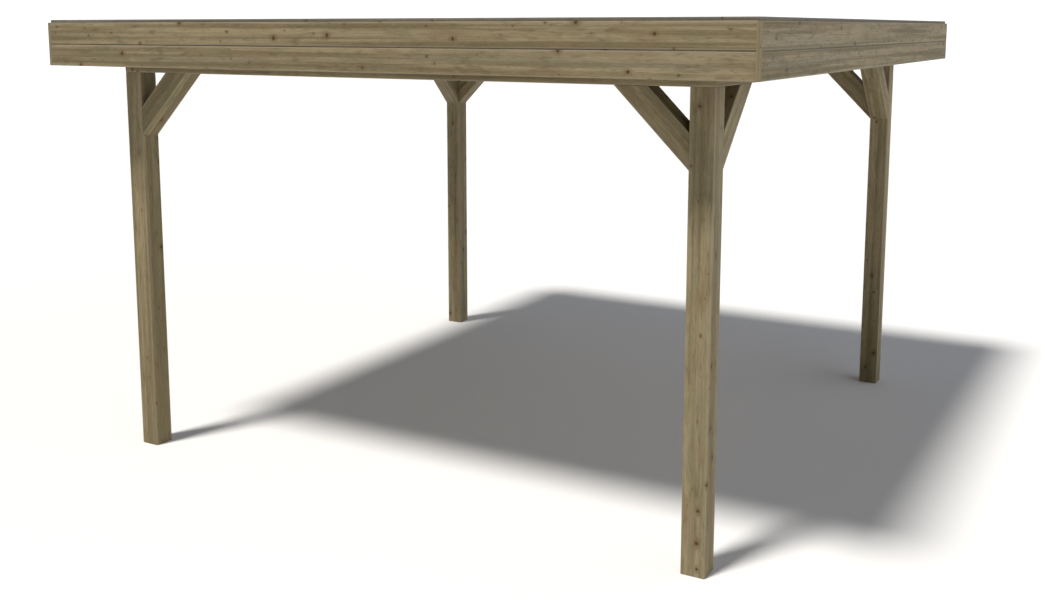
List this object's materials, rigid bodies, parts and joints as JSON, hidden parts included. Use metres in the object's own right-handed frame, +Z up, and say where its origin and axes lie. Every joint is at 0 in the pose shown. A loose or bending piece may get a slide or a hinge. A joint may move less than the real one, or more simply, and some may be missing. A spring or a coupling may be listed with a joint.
{
  "type": "garden pavilion",
  "caption": "Open timber garden pavilion: square posts with knee braces carry a beam ring and a flat roof with a boarded fascia.",
  "frame": {"origin": "on the ground, at the centre of the plan", "axes": "+X to the right along the front, +Y from the front to the back, +Z up"},
  "size_m": [4.24, 4.14, 2.575],
  "materials": {
    "frame_timber": "planed pressure-treated pine, olive brown",
    "roof_timber": "planed pressure-treated pine",
    "roof_boards": "planed pine tongue-and-groove boards",
    "membrane": "matt black rubber sheet",
    "fascia_timber": "planed pressure-treated pine, olive brown",
    "corner_timber": "planed pressure-treated pine, a little lighter",
    "trim_timber": "weathered grey-brown pine"
  },
  "bodies": {
    "root": {"post_front_left": "frame_timber", "post_front_right": "frame_timber", "post_back_left": "frame_timber", "post_back_right": "frame_timber", "beam_front": "frame_timber", "beam_back": "frame_timber", "beam_left": "frame_timber", "beam_right": "frame_timber", "brace_front_left": "frame_timber", "brace_front_right": "frame_timber", "brace_back_left": "frame_timber", "brace_back_right": "frame_timber", "brace_left_front": "frame_timber", "brace_left_back": "frame_timber", "brace_right_front": "frame_timber", "brace_right_back": "frame_timber", "rafter_1": "roof_timber", "rafter_2": "roof_timber", "rafter_3": "roof_timber", "rafter_4": "roof_timber", "rafter_5": "roof_timber", "rafter_6": "roof_timber", "rafter_7": "roof_timber", "rim_front": "roof_timber", "rim_back": "roof_timber", "rim_left": "roof_timber", "rim_right": "roof_timber", "roof_deck": "roof_boards", "roof_membrane": "membrane", "fascia_front_upper": "fascia_timber", "fascia_front_lower": "fascia_timber", "fascia_back_upper": "fascia_timber", "fascia_back_lower": "fascia_timber", "fascia_left_upper": "fascia_timber", "fascia_left_lower": "fascia_timber", "fascia_right_upper": "fascia_timber", "fascia_right_lower": "fascia_timber", "corner_strip_front_left": "corner_timber", "corner_strip_front_right": "corner_timber", "corner_strip_back_left": "corner_timber", "corner_strip_back_right": "corner_timber", "edge_trim_front": "trim_timber", "edge_trim_back": "trim_timber", "edge_trim_left": "trim_timber", "edge_trim_right": "trim_timber"}
  },
  "joints": []
}
